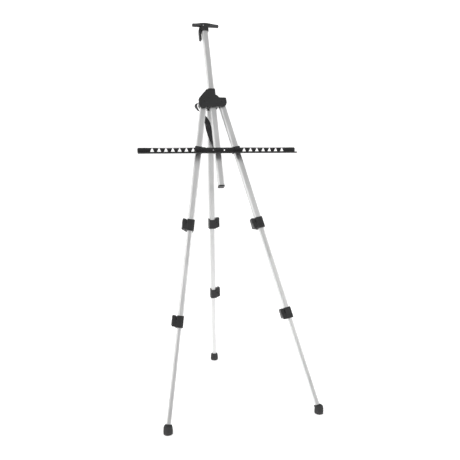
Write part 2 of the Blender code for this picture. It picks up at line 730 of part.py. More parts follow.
def head(slide):
    """The sliding inner tube and the T-shaped head on it."""
    axis = empty("head_slide_axis", slide.matrix_world, slide)
    square_tube("head_tube", MEDIUM, HEAD_TUBE_BOTTOM, HEAD_TUBE_TOP, axis)
    stem_side = MEDIUM - 2 * WALL - 2 * GAP
    stem = post(square(stem_side, TUBE_CORNER - WALL), HEAD_TUBE_BOTTOM - GAP, HEAD_TUBE_BOTTOM + 14 * MM)
    flange = post(square(MEDIUM + GUIDE, TUBE_CORNER), HEAD_TUBE_BOTTOM - 4 * MM, HEAD_TUBE_BOTTOM - GAP)
    inner_plug = new_object("head_tube_plug", flange, plastic(), axis)
    combine(inner_plug, "UNION", [guide("head_tube_plug_stem", stem, axis)])
    bar_body = new_object("head_bar", bar(wing_outline(), HEAD_FRONT, WING_BACK, 1.2 * MM), plastic(), axis)
    middle = rounded_rectangle((-15 * MM, HEAD_FRONT + 0.4 * MM), (17 * MM, 14 * MM), 3 * MM)
    block = post(middle, HEAD_BASE, HEAD_WING + 14 * MM, 1.4 * MM)
    combine(bar_body, "UNION", [guide("head_middle", block, axis)])
    socket = post(clearance(MEDIUM), HEAD_BASE - 9 * MM, HEAD_TUBE_TOP + GAP)
    cuts = [guide("head_socket", socket, axis)]
    for word, sign in (("left", -1), ("right", 1)):
        near, far = 22 * MM, HEAD_HALF - 4 * MM
        low, high = HEAD_WING + 3.4 * MM, HEAD_WING + 8.8 * MM
        pad = rounded_rectangle((near, low), (far, high), 1.8 * MM)
        recess = rounded_rectangle((near - GAP, low - GAP), (far + GAP, high + GAP), 2.0 * MM)
        if sign < 0:
            pad = [(-x, z) for x, z in reversed(pad)]
            recess = [(-x, z) for x, z in reversed(recess)]
        pad = [(x + HEAD_SHIFT, z) for x, z in pad]
        recess = [(x + HEAD_SHIFT, z) for x, z in recess]
        floor = HEAD_FRONT + 1.6 * MM
        cuts.append(guide("head_recess_" + word, bar(recess, HEAD_FRONT - 9 * MM, floor), axis))
        new_object("head_pad_" + word, bar(pad, HEAD_FRONT - 1.0 * MM, floor - GAP, 0.5 * MM), rubber(), axis)
    combine(bar_body, "DIFFERENCE", cuts)


# ---------------------------------------------------------------- tray

def clip_distance():
    """How far down each front leg its tray clip sits."""
    return (HUB_HEIGHT - BOSS_Z) / (math.cos(SPLAY) * math.cos(LEAN))


def leg_clip(word, side, leg_frame):
    """The block that slides on a front leg's upper tube behind the tray."""
    axis = empty(word + "_clip_slide_axis", leg_frame.matrix_world, leg_frame)
    middle = -clip_distance()
    outline = rounded_rectangle((-17 * MM, -CLIP_LAYER), (17 * MM, 16.5 * MM), 3 * MM)
    body = new_object(word + "_clip", post(outline, middle - 11 * MM, middle + 11 * MM, 1 * MM), plastic(), axis)
    bore = post(clearance(LARGE), middle - 40 * MM, middle + 40 * MM)
    combine(body, "DIFFERENCE", [guide(word + "_clip_bore", bore, axis)])
    return axis


def layer_y(height, layer):
    """Y, from the front leg pivots, of a point this far in front of the legs' plane."""
    return -(layer + (HUB_HEIGHT - height) * math.sin(LEAN)) / math.cos(LEAN)


def mounting_pad(side):
    """A wedge behind the tray's plate that ends flat against a leg clip."""
    low, high = BOSS_Z - 10.5 * MM, BOSS_Z + 10.5 * MM
    outline = [
        (PLATE_BACK - 1.5 * MM, low),
        (layer_y(low, PAD_LAYER), low),
        (layer_y(high, PAD_LAYER), high),
        (PLATE_BACK - 1.5 * MM, high),
    ]
    bm = bar(outline, -11 * MM, 11 * MM)
    bmesh.ops.rotate(bm, verts=bm.verts, matrix=Matrix.Rotation(math.radians(90), 3, "Z"))
    return shift(bm, (side * BOSS_X, 0.0, 0.0))


def centre_bar(frame):
    """The tray's middle: an upright plate with an ear behind each wing, and a ledge in front."""
    back_high = TRAY_TOP - 0.6 * MM
    reach = BOSS_X
    ear = 13.4 * MM
    lift = BOSS_Z - ear
    plate = [
        (-reach, lift),
        (reach, lift),
        *arc((reach, BOSS_Z), ear, -80, 80, 6),
        (reach - 1 * MM, BOSS_Z + ear),
        (58 * MM, back_high),
        (-58 * MM, back_high),
        (-reach + 1 * MM, BOSS_Z + ear),
        *arc((-reach, BOSS_Z), ear, 100, 260, 6),
    ]
    front_back = TRAY_FRONT + TRAY_THICK
    body = new_object("tray_centre_bar", bar(plate, front_back + GAP, PLATE_BACK), plastic(), frame)
    half = 68 * MM
    face = bar(
        [
            (-half, TRAY_BOTTOM),
            (half, TRAY_BOTTOM),
            (half, TRAY_TOP + 3 * MM),
            (57 * MM, TRAY_TOP),
            (-57 * MM, TRAY_TOP),
            (-half, TRAY_TOP + 3 * MM),
        ],
        TRAY_FRONT,
        PLATE_BACK - 1 * MM,
        0.6 * MM,
    )
    wide = WING_START - 0.6 * MM
    root = TRAY_FRONT - GAP
    ledge = post(
        [
            (-wide, root),
            (-half - 0.6 * MM, root),
            (-half + 0.4 * MM, TRAY_FRONT + 2 * MM),
            (half - 0.4 * MM, TRAY_FRONT + 2 * MM),
            (half + 0.6 * MM, root),
            (wide, root),
            (wide, root - LEDGE_MIDDLE),
            (-wide, root - LEDGE_MIDDLE),
        ],
        TRAY_BOTTOM,
        TRAY_BOTTOM + LEDGE_THICK,
        0.8 * MM,
    )
    joins = [("tray_face_guide", face), ("tray_ledge_guide", ledge)]
    joins += [("tray_left_pad_guide", mounting_pad(-1)), ("tray_right_pad_guide", mounting_pad(1))]
    combine(body, "UNION", [guide(tag, bm, frame) for tag, bm in joins])
    cuts = []
    for word, side in (("left", -1), ("right", 1)):
        hole = rod(3.5 * MM, -150 * MM, -118 * MM, 12, "Y")
        cuts.append(("tray_hole_" + word, shift(hole, (side * 24.5 * MM, 0.0, BOSS_Z + 0.6 * MM))))
        boss = rod(3.3 * MM, -150 * MM, PLATE_BACK - 1.5 * MM, 12, "Y")
        cuts.append(("tray_boss_hole_" + word, shift(boss, (side * BOSS_X, 0.0, BOSS_Z))))
        scoop = rod(10.0 * MM, TRAY_FRONT - 5 * MM, TRAY_FRONT - GAP / 2, 18, "Y")
        cuts.append(("tray_scoop_" + word, shift(scoop, (side * BOSS_X, 0.0, BOSS_Z))))
    combine(body, "DIFFERENCE", [guide(tag, bm, frame) for tag, bm in cuts])


def wing(word, side, frame):
    """One outer length of the tray, drawn about its boss: a pierced face over a ledge."""
    place = Matrix.Translation((side * BOSS_X, CENTRE_Y, BOSS_Z))
    axis = empty(word + "_wing_axis", place, frame)
    low, high = TRAY_BOTTOM - BOSS_Z, TRAY_TOP - BOSS_Z
    start, end = WING_START - BOSS_X, TRAY_HALF - BOSS_X

    def sided(outline):
        return outline if side > 0 else [(-x, z) for x, z in reversed(outline)]

    face = [
        (start, low),
        (end - 3 * MM, low),
        (end, low + 3 * MM),
        (end, high - 4 * MM),
        (end - 4 * MM, high),
        (start + 6 * MM, high),
        *arc((0.0, 0.0), EAR, 47, 303, 16),
    ]
    back = TRAY_FRONT + TRAY_THICK
    body = new_object(word + "_tray_wing", bar(sided(face), TRAY_FRONT, back), plastic(), axis)
    ledge = [
        (start, TRAY_FRONT + 2 * MM),
        (end - 1 * MM, TRAY_FRONT + 2 * MM),
        (end, TRAY_FRONT),
        (end, TRAY_FRONT - LEDGE_END + 6 * MM),
        (end - 6 * MM, TRAY_FRONT - LEDGE_END),
        (start, TRAY_FRONT - LEDGE_MIDDLE - 1.5 * MM),
    ]
    shelf = post(sided(ledge), low, low + LEDGE_THICK, 0.8 * MM)
    combine(body, "UNION", [guide(word + "_wing_ledge", shelf, axis)])
    cuts = [(word + "_wing_boss_hole", rod(3.3 * MM, -150 * MM, -118 * MM, 12, "Y"))]
    for i in range(NOTCH_COUNT):
        x = NOTCH_FIRST + i * NOTCH_PITCH - BOSS_X
        foot_z, tip_z = low + 7.2 * MM, high - 1.8 * MM
        triangle = [
            (x - NOTCH_BASE / 2, foot_z),
            (x + NOTCH_BASE / 2, foot_z),
            (x + 1.2 * MM, tip_z),
            (x - 1.2 * MM, tip_z),
        ]
        cuts.append((word + "_notch_" + str(i + 1), bar(sided(triangle), -150 * MM, -118 * MM)))
    combine(body, "DIFFERENCE", [guide(tag, bm, axis) for tag, bm in cuts])


def boss_screw(word, side, frame):
    """The round screw that each wing turns on: a dished head on a plain shank."""
    profile = [
        (3.0 * MM, PLATE_BACK - 1.5 * MM - GAP),
        (3.0 * MM, TRAY_FRONT - GAP),
        (9.0 * MM, TRAY_FRONT - GAP),
        (9.5 * MM, TRAY_FRONT - 1.2 * MM),
        (8.4 * MM, TRAY_FRONT - 3.4 * MM),
        (6.6 * MM, TRAY_FRONT - 3.4 * MM),
        (5.4 * MM, TRAY_FRONT - 1.6 * MM),
    ]
    turned_about_z = turned([(radius, -y) for radius, y in profile], 18)
    bmesh.ops.rotate(turned_about_z, verts=turned_about_z.verts, matrix=Matrix.Rotation(math.radians(90), 3, "X"))
    new_object("tray_screw_" + word, turned_about_z, plastic(), frame, (side * BOSS_X, 0.0, BOSS_Z))


def tray(left_clip_axis):
    """The tray hangs on the left clip's pivot and rests against the right clip."""
    pivot_y = layer_y(BOSS_Z, 0.0)
    place = Matrix.Translation((-BOSS_X, CENTRE_Y + pivot_y, BOSS_Z)) @ Matrix.Rotation(-LEAN, 4, "X")
    pivot = empty("tray_pivot_axis", place, left_clip_axis)
    frame = empty("tray_frame", Matrix.Translation((0.0, CENTRE_Y, 0.0)), pivot)
    centre_bar(frame)
    for word, side in (("left", -1), ("right", 1)):
        wing(word, side, frame)
        boss_screw(word, side, frame)


# ---------------------------------------------------------------- strap

# Points along the strap's middle, from the front leg pivots, and the way its width lies
STRAP_PATH = (
    ((-19.2, 51.0, 1243.4), (0.0, 1.0, 0.0)),
    ((-19.4, 51.0, 1235.0), (0.0, 1.0, 0.0)),
    ((-24.0, 51.0, 1228.5), (0.0, 1.0, 0.0)),
    ((-36.0, 49.0, 1226.0), (-0.05, 1.0, 0.0)),
    ((-51.0, 46.0, 1226.5), (-0.12, 1.0, 0.0)),
    ((-62.0, 44.5, 1224.0), (-0.2, 1.0, 0.0)),
    ((-67.5, 43.0, 1215.5), (-0.24, 1.0, 0.0)),
    ((-65.5, 42.0, 1206.0), (-0.24, 1.0, 0.0)),
    ((-57.5, 41.0, 1195.0), (-0.16, 1.0, 0.1)),
    ((-44.0, 38.5, 1181.0), (0.3, 0.9, 0.25)),
    ((-28.4, 34.2, 1161.0), (0.75, 0.65, 0.3)),
    ((-17.0, 31.8, 1138.0), (0.95, 0.3, 0.2)),
    ((-10.5, 33.5, 1112.0), (1.0, 0.0, 0.1)),
    ((-5.0, 30.0, 1086.0), (0.95, 0.3, 0.0)),
    ((1.7, 25.5, 1060.0), (0.8, 0.6, 0.0)),
    ((12.6, 24.4, 1037.0), (0.5, 0.87, 0.0)),
    ((17.0, 37.0, 1018.0), (0.1, 1.0, 0.0)),
    ((15.3, 44.5, 1000.5), (0.0, 1.0, 0.0)),
)


def strap(hub):
    """A woven strap looped from the hub's rear to the rear leg's upper tube."""
    centres = [Vector(point) * MM for point, _ in STRAP_PATH]
    widths = [Vector(width).normalized() for _, width in STRAP_PATH]
    last = len(centres) - 1
    loops = []
    for i in range(last):
        around = (max(i - 1, 0), i, i + 1, min(i + 2, last))
        loops.append(ribbon_section(centres, widths, around, 0.0))
        loops.append(ribbon_section(centres, widths, around, 0.5))
    loops.append(ribbon_section(centres, widths, (last - 2, last - 1, last, last), 1.0))
    ribbon = loft(loops)
    bmesh.ops.triangulate(ribbon, faces=ribbon.faces)
    made = new_object("carry_strap", ribbon, webbing(), hub)
    made.matrix_world = Matrix.Translation((0.0, CENTRE_Y, 0.0))


def strap_rivet(name, side, point, parent):
    """A flat domed head against the strap's outer side."""
    profile = [(4.6 * MM, 0.0), (4.4 * MM, 0.8 * MM), (2.6 * MM, 1.7 * MM)]
    bm = turned(profile, 12)
    bmesh.ops.rotate(bm, verts=bm.verts, matrix=Matrix.Rotation(side * math.radians(90), 3, "Y"))
    made = new_object(name, bm, steel(), parent)
    made.matrix_world = Matrix.Translation(Vector(point) * MM + Vector((0.0, CENTRE_Y, 0.0)))


def ribbon_section(centres, widths, indices, t):
    a, b, c, d = indices
    here = spline(centres[a], centres[b], centres[c], centres[d], t)
    ahead = spline(centres[a], centres[b], centres[c], centres[d], t + 0.02)
    behind = spline(centres[a], centres[b], centres[c], centres[d], t - 0.02)
    along = (ahead - behind).normalized()
    across = widths[b].lerp(widths[c], t)
    across = (across - along * across.dot(along)).normalized()
    normal = along.cross(across)
    half, thin = across * STRAP_WIDTH / 2, normal * STRAP_THICK / 2
    return [here - half - thin, here + half - thin, here + half + thin, here - half + thin]


def spline(a, b, c, d, t):
    """Catmull-Rom interpolation between b and c."""
    return 0.5 * (
        2 * b + (c - a) * t + (2 * a - 5 * b + 4 * c - d) * t * t + (3 * b - a - 3 * c + d) * t * t * t
    )


# ---------------------------------------------------------------- assembly

def main():
    for item in list(bpy.data.objects):
        bpy.data.objects.remove(item, do_unlink=True)
    hub = empty("hub_frame", leaning_matrix())
    hub_body(hub)
    mast_clamp_lever(hub)
    behind, along = rear_pivot_in_hub()
    clips = {}
    for word, side, span in (("left", -1, LEFT_KNUCKLE), ("right", 1, RIGHT_KNUCKLE)):
        prefix = word + "_leg"
        inward, back = FRONT_FOOT_SHIFT
        foot_shift = (-side * inward, back, 0.0)
        place = front_leg_matrix(side)
        frame = leg(prefix, place, GAP - span[0], FRONT_LOWER_LOCK, front_leg_length(), 0.5 * MM, foot_shift, 36 * MM)
        front_knuckle(prefix + "_knuckle", side, span, frame)
        rivet(prefix + "_pin", COVER_FRONT, 16 * MM, "Y", hub, (side * PIVOT_X, 0.0, 0.0))
        clips[word] = leg_clip(word, side, frame)
    place = rear_leg_matrix()
    frame = leg("rear_leg", place, REAR_TUBE_TOP, REAR_LOWER_LOCK, rear_leg_length(), 5 * MM, (0.0, 0.0, 0.0), 30 * MM)
    rear_knuckle("rear_leg_knuckle", frame)
    rivet("rear_leg_pin", -18 * MM, 18 * MM, "X", hub, (0.0, behind, along))
    slide = mast(hub)
    head_lock(slide)
    mast_rivet(slide)
    head(slide)
    tray(clips["left"])
    strap(hub)
    strap_rivet("strap_top_rivet", -1, (-20.9, 47.0, 1238.0), hub)
    strap_rivet("strap_bottom_rivet", 1, (17.9, 43.0, 1006.0), frame)


main()
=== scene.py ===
"""The looks of the telescopic easel: materials, moulded detail, strap, floor, light and camera.

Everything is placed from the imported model: its joints give the frames, and its boxes the sizes. Metres.
"""

import json
import math

import bmesh
import bpy
from mathutils import Matrix, Vector


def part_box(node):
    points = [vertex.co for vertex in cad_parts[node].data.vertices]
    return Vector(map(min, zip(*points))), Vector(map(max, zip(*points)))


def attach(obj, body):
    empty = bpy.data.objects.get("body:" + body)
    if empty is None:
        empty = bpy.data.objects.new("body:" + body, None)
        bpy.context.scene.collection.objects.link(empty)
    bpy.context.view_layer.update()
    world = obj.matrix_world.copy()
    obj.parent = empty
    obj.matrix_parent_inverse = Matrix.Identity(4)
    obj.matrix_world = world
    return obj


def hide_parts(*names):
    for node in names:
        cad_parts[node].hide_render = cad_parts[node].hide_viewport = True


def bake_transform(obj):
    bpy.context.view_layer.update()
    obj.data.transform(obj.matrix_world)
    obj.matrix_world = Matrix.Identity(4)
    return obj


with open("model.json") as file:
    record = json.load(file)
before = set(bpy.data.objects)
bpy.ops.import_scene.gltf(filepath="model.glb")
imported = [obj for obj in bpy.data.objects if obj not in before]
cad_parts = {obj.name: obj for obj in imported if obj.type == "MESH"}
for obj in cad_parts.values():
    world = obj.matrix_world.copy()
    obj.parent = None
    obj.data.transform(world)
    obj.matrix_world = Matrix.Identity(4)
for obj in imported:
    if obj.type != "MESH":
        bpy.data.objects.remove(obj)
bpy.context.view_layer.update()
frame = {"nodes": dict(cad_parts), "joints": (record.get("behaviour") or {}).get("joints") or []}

MM = 0.001
JOINTS = {joint["name"]: joint for joint in frame["joints"]}
NODES = frame["nodes"]


# ---------------------------------------------------------------- frames

def axis_of(joint):
    return Vector(JOINTS[joint]["axis"]).normalized()


def place_of(joint):
    return Vector(JOINTS[joint]["pos_m"])


def matrix_from(origin, up, back):
    """A frame whose Z is up, whose Y is back (squared to up) and whose origin is given."""
    z = up.normalized()
    y = (back - z * back.dot(z)).normalized()
    x = y.cross(z)
    rotation = Matrix((x, y, z)).transposed()
    return Matrix.Translation(origin) @ rotation.to_4x4()


def hub_frame():
    """+Z up the mast, -Y towards the viewer, at the middle of the front leg pivots."""
    middle = (place_of("left_leg_fold") + place_of("right_leg_fold")) / 2
    return matrix_from(middle, axis_of("mast_slide"), -axis_of("left_leg_fold"))


def leg_frame(word):
    """+Z up the leg, -Y out of the leg's outer face, at the leg's pivot."""
    back = axis_of(word + "_leg_upper_lever_flip")
    return matrix_from(place_of(word + "_leg_fold"), axis_of(word + "_leg_middle_slide"), back)


def lock_frame(word, level):
    """The leg's frame, moved to the pin of one of its lock levers."""
    place = leg_frame(word)
    place.translation = place_of(f"{word}_leg_{level}_lever_flip")
    return place


HUB = hub_frame()
LEGS = ("left", "right", "rear")


# ---------------------------------------------------------------- mesh helpers

def arc(centre, radius, start, end, steps):
    """Points on a circle, in two dimensions, with the angles in degrees."""
    angles = [math.radians(start + (end - start) * i / steps) for i in range(steps + 1)]
    return [(centre[0] + radius * math.cos(a), centre[1] + radius * math.sin(a)) for a in angles]


def rounded(low, high, radius, steps=4):
    """An anticlockwise rounded rectangle from two opposite corners."""
    corners = (
        ((high[0] - radius, low[1] + radius), -90),
        ((high[0] - radius, high[1] - radius), 0),
        ((low[0] + radius, high[1] - radius), 90),
        ((low[0] + radius, low[1] + radius), 180),
    )
    points = []
    for centre, start in corners:
        points += arc(centre, radius, start, start + 90, steps)
    return points


def inset(outline, amount):
    """The outline drawn in by the same amount along every edge."""
    count = len(outline)
    area = sum(
        outline[i][0] * outline[(i + 1) % count][1] - outline[(i + 1) % count][0] * outline[i][1]
        for i in range(count)
    )
    inward = 1.0 if area > 0 else -1.0
    normals = []
    for i in range(count):
        edge = (Vector(outline[(i + 1) % count]) - Vector(outline[i])).normalized()
        normals.append(Vector((-edge.y, edge.x)) * inward)
    points = []
    for i in range(count):
        before, after = normals[i - 1], normals[i]
        step = (before + after) / (1.0 + before.dot(after))
        points.append((outline[i][0] + step.x * amount, outline[i][1] + step.y * amount))
    return points


def loft(loops, closed=False):
    """A skin through equal-length loops, capped at both ends unless it closes on itself."""
    bm = bmesh.new()
    rings = [[bm.verts.new(point) for point in loop] for loop in loops]
    pairs = list(zip(rings, rings[1:]))
    if closed:
        pairs.append((rings[-1], rings[0]))
    for lower, upper in pairs:
        count = len(lower)
        for i in range(count):
            j = (i + 1) % count
            bm.faces.new((lower[i], lower[j], upper[j], upper[i]))
    if not closed:
        bm.faces.new(list(reversed(rings[0])))
        bm.faces.new(rings[-1])
    return bm


def slab(outline, low, high, bevel=0.0, steps=3):
    """An X-Z outline drawn out along Y, its end edges rounded."""
    stations = [(low, 0.0), (high, 0.0)]
    if bevel:
        turns = [math.pi / 2 * i / steps for i in range(steps + 1)]
        first = [(low + bevel * (1 - math.sin(t)), bevel * (1 - math.cos(t))) for t in reversed(turns)]
        last = [(high - bevel * (1 - math.sin(t)), bevel * (1 - math.cos(t))) for t in turns]
        stations = first + last
    loops = []
    for y, amount in stations:
        points = inset(outline, amount) if amount else outline
        loops.append([(x, y, z) for x, z in points])
    return loft(loops)


def turned(profile, sides=32):
    """A solid of revolution about Z from (radius, height) pairs."""
    loops = []
    for radius, height in profile:
        ring = arc((0.0, 0.0), radius, 0, 360 - 360 / sides, sides - 1)
        loops.append([(x, y, height) for x, y in ring])
    return loft(loops)


def rotated(bm, degrees, axis):
    bmesh.ops.rotate(bm, verts=bm.verts, matrix=Matrix.Rotation(math.radians(degrees), 3, axis))
    return bm


def moved(bm, offset):
    bmesh.ops.translate(bm, verts=bm.verts, vec=offset)
    return bm


def joined(parts):
    """Several bmeshes as one, their shells left separate."""
    whole = bmesh.new()
    for part in parts:
        mesh = bpy.data.meshes.new("part")
        part.to_mesh(mesh)
        part.free()
        whole.from_mesh(mesh)
        bpy.data.meshes.remove(mesh)
    return whole


def piece(name, bm, place, body, look, smooth=35):
    """A shown piece, made in its own frame, that rides on a body."""
    bmesh.ops.recalc_face_normals(bm, faces=bm.faces)
    mesh = bpy.data.meshes.new(name)
    bm.to_mesh(mesh)
    bm.free()
    mesh.materials.append(look)
    mesh.shade_smooth()
    mesh.set_sharp_from_angle(angle=math.radians(smooth))
    made = bpy.data.objects.new(name, mesh)
    bpy.context.scene.collection.objects.link(made)
    made.matrix_world = place
    if body:
        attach(made, body)
    return made


# ---------------------------------------------------------------- node materials

class Nodes:
    """A short way to wire a material."""

    def __init__(self, name, metallic=0.0, color=(0.8, 0.8, 0.8), roughness=0.5):
        self.material = bpy.data.materials.new(name)
        self.material.use_nodes = True
        self.tree = self.material.node_tree
        self.shader = self.tree.nodes["Principled BSDF"]
        self.shader.inputs["Metallic"].default_value = metallic
        self.shader.inputs["Base Color"].default_value = (*color, 1.0)
        self.shader.inputs["Roughness"].default_value = roughness
        self.material.diffuse_color = (*color, 1.0)
        self.coordinates = self.add("ShaderNodeTexCoord").outputs["Object"]

    def add(self, kind, **values):
        node = self.tree.nodes.new(kind)
        for key, value in values.items():
            setattr(node, key, value)
        return node

    def link(self, source, target):
        self.tree.links.new(source, target)

    def oriented(self, rotation, scale):
        """Object coordinates turned and stretched."""
        turn = self.add("ShaderNodeMapping")
        turn.vector_type = "TEXTURE"
        turn.inputs["Rotation"].default_value = rotation
        self.link(self.coordinates, turn.inputs["Vector"])
        stretch = self.add("ShaderNodeMapping")
        stretch.inputs["Scale"].default_value = scale
        self.link(turn.outputs["Vector"], stretch.inputs["Vector"])
        return stretch.outputs["Vector"]

    def noise(self, scale, detail=3.0, vector=None, roughness=0.5):
        node = self.add("ShaderNodeTexNoise")
        node.inputs["Scale"].default_value = scale
        node.inputs["Detail"].default_value = detail
        node.inputs["Roughness"].default_value = roughness
        self.link(vector or self.coordinates, node.inputs["Vector"])
        return node.outputs["Fac"]

    def ramp(self, source, low, high, start=0.3, end=0.7):
        """Maps a value from start..end to low..high."""
        node = self.add("ShaderNodeMapRange")
        node.inputs["From Min"].default_value = start
        node.inputs["From Max"].default_value = end
        node.inputs["To Min"].default_value = low
        node.inputs["To Max"].default_value = high
        self.link(source, node.inputs["Value"])
        return node.outputs["Result"]

    def math(self, operation, a, b):
        node = self.add("ShaderNodeMath", operation=operation)
        for socket, value in zip(node.inputs, (a, b)):
            if isinstance(value, (int, float)):
                socket.default_value = value
            else:
                self.link(value, socket)
        return node.outputs["Value"]

    def mixed(self, factor, first, second):
        """A colour between two colours."""
        node = self.add("ShaderNodeMix", data_type="RGBA")
        colour_inputs = [socket for socket in node.inputs if socket.type == "RGBA"]
        self.link(factor, node.inputs["Factor"])
        for socket, value in zip(colour_inputs, (first, second)):
            if isinstance(value, tuple):
                socket.default_value = (*value, 1.0)
            else:
                self.link(value, socket)
        return [socket for socket in node.outputs if socket.type == "RGBA"][0]

    def bump(self, height, distance, strength=1.0, before=None):
        node = self.add("ShaderNodeBump")
        node.inputs["Distance"].default_value = distance
        node.inputs["Strength"].default_value = strength
        self.link(height, node.inputs["Height"])
        if before:
            self.link(before, node.inputs["Normal"])
        return node.outputs["Normal"]

    def edges(self, radius):
        """1 along sharp edges, 0 on open faces."""
        bevel = self.add("ShaderNodeBevel", samples=4)
        bevel.inputs["Radius"].default_value = radius
        geometry = self.add("ShaderNodeNewGeometry")
        dot = self.add("ShaderNodeVectorMath", operation="DOT_PRODUCT")
        self.link(bevel.outputs["Normal"], dot.inputs[0])
        self.link(geometry.outputs["Normal"], dot.inputs[1])
        return self.ramp(dot.outputs["Value"], 1.0, 0.0, 0.75, 0.99)

    def to(self, socket, source):
        self.link(source, self.shader.inputs[socket])


def aluminium(name, up):
    """Satin anodised extrusion, with fine draw lines along the tube."""
    tone = Nodes(name, metallic=1.0, color=(0.68, 0.68, 0.675), roughness=0.36)
    turn = up.to_track_quat("Z", "Y").to_euler()
    along = tone.oriented(tuple(turn), (1.0, 1.0, 0.012))
    lines = tone.noise(2600.0, 4.0, along, 0.6)
    broad = tone.noise(24.0, 3.0)
    handled = tone.noise(7.0, 5.0, None, 0.65)
    colour = tone.mixed(tone.ramp(lines, 0.0, 1.0), (0.67, 0.67, 0.665), (0.80, 0.80, 0.795))
    colour = tone.mixed(tone.ramp(broad, 0.0, 0.35), colour, (0.715, 0.72, 0.725))
    tone.to("Base Color", colour)
    rough = tone.math("ADD", tone.ramp(lines, 0.0, 0.10), tone.ramp(handled, 0.31, 0.43, 0.35, 0.65))
    tone.to("Roughness", rough)
    tone.to("Normal", tone.bump(lines, 0.00003, 0.5))
    tone.shader.inputs["Anisotropic"].default_value = 0.35
    return tone.material


def moulded(name, base, worn, roughness=0.46, grain=1500.0, depth=0.00006):
    """Spark-textured black moulding, a little lighter along its edges."""
    tone = Nodes(name, color=base, roughness=roughness)
    grains = tone.noise(grain, 2.0)
    cloudy = tone.noise(38.0, 4.0)
    edge = tone.edges(0.0009)
    scuffs = tone.noise(220.0, 5.0, None, 0.7)
    wear = tone.math("MULTIPLY", edge, tone.ramp(scuffs, 0.15, 0.9, 0.35, 0.65))
    colour = tone.mixed(tone.ramp(cloudy, 0.0, 0.5), base, tuple(c * 1.5 for c in base))
    colour = tone.mixed(wear, colour, worn)
    tone.to("Base Color", colour)
    shine = tone.ramp(cloudy, roughness - 0.04, roughness + 0.06)
    rough = tone.math("ADD", tone.ramp(grains, -0.05, 0.06), shine)
    tone.to("Roughness", rough)
    tone.to("Normal", tone.bump(grains, depth, 0.6))
    return tone.material


def rubber(name, clean=(0.020, 0.020, 0.021), dusty=(0.075, 0.073, 0.07)):
    """Matt rubber with a bloom of dust low down."""
    tone = Nodes(name, color=clean, roughness=0.7)
    pores = tone.noise(1900.0, 3.0)
    dust = tone.noise(60.0, 5.0, None, 0.65)
    height = tone.add("ShaderNodeSeparateXYZ")
    tone.link(tone.coordinates, height.inputs[0])
    low = tone.ramp(height.outputs["Z"], 0.55, 0.0, 0.0, 0.02)
    bloom = tone.math("MULTIPLY", tone.math("ADD", low, 0.15), tone.ramp(dust, 0.0, 1.0, 0.4, 0.7))
    tone.to("Base Color", tone.mixed(bloom, clean, dusty))
    tone.to("Roughness", tone.ramp(dust, 0.58, 0.75))
    tone.to("Normal", tone.bump(pores, 0.00008, 0.5))
    return tone.material


def steel(name, light, dark):
    """Plated or blackened steel, with fine grain and spots."""
    tone = Nodes(name, metallic=1.0, color=light, roughness=0.3)
    fine = tone.noise(2400.0, 3.0)
    spots = tone.noise(420.0, 4.0, None, 0.7)
    tone.to("Base Color", tone.mixed(tone.ramp(spots, 0.0, 1.0, 0.5, 0.75), light, dark))
    tone.to("Roughness", tone.ramp(fine, 0.24, 0.4))
    tone.to("Normal", tone.bump(fine, 0.00003, 0.4))
    return tone.material


def webbing(name, along_count, across_count):
    """Polyester webbing: diagonal ribs over fine threads, read from the strap's own lengthwise map."""
    tone = Nodes(name, color=(0.02, 0.02, 0.021), roughness=0.85)
    chart = tone.add("ShaderNodeUVMap", uv_map="weave").outputs["UV"]
    split = tone.add("ShaderNodeSeparateXYZ")
    tone.link(chart, split.inputs[0])
    across = tone.math("MULTIPLY", split.outputs["X"], float(across_count))
    along = tone.math("MULTIPLY", split.outputs["Y"], float(along_count))
    fold = tone.math("PINGPONG", across, 4.0)
    phase = tone.math("ADD", fold, along)
    rib = tone.math("SINE", tone.math("MULTIPLY", phase, math.tau), 0.0)
    thread = tone.math("SINE", tone.math("MULTIPLY", across, math.tau * 2), 0.0)
    weave = tone.math("ADD", tone.math("MULTIPLY", rib, 0.6), tone.math("MULTIPLY", thread, 0.4))
    fuzz = tone.noise(900.0, 4.0)
    colour = tone.mixed(tone.ramp(weave, 0.0, 1.0, -0.8, 0.8), (0.010, 0.010, 0.011), (0.045, 0.045, 0.047))
    colour = tone.mixed(tone.ramp(fuzz, 0.0, 0.4, 0.5, 0.8), colour, (0.09, 0.09, 0.092))
    tone.to("Base Color", colour)
    tone.to("Roughness", tone.ramp(fuzz, 0.78, 0.95))
    tone.to("Normal", tone.bump(weave, 0.00022, 0.9))
    tone.shader.inputs["Sheen Weight"].default_value = 0.04
    tone.shader.inputs["Specular IOR Level"].default_value = 0.25
    return tone.material


FLOOR_GLOW = 0.42


def floor_material():
    tone = Nodes("studio_floor", color=(0.9, 0.9, 0.9), roughness=0.7)
    patch = tone.noise(1.1, 2.0)
    tone.to("Base Color", tone.mixed(tone.ramp(patch, 0.0, 1.0), (0.90, 0.90, 0.90), (0.915, 0.915, 0.915)))
    tone.shader.inputs["Emission Color"].default_value = (1.0, 1.0, 1.0, 1.0)
    tone.shader.inputs["Emission Strength"].default_value = FLOOR_GLOW
    return tone.material


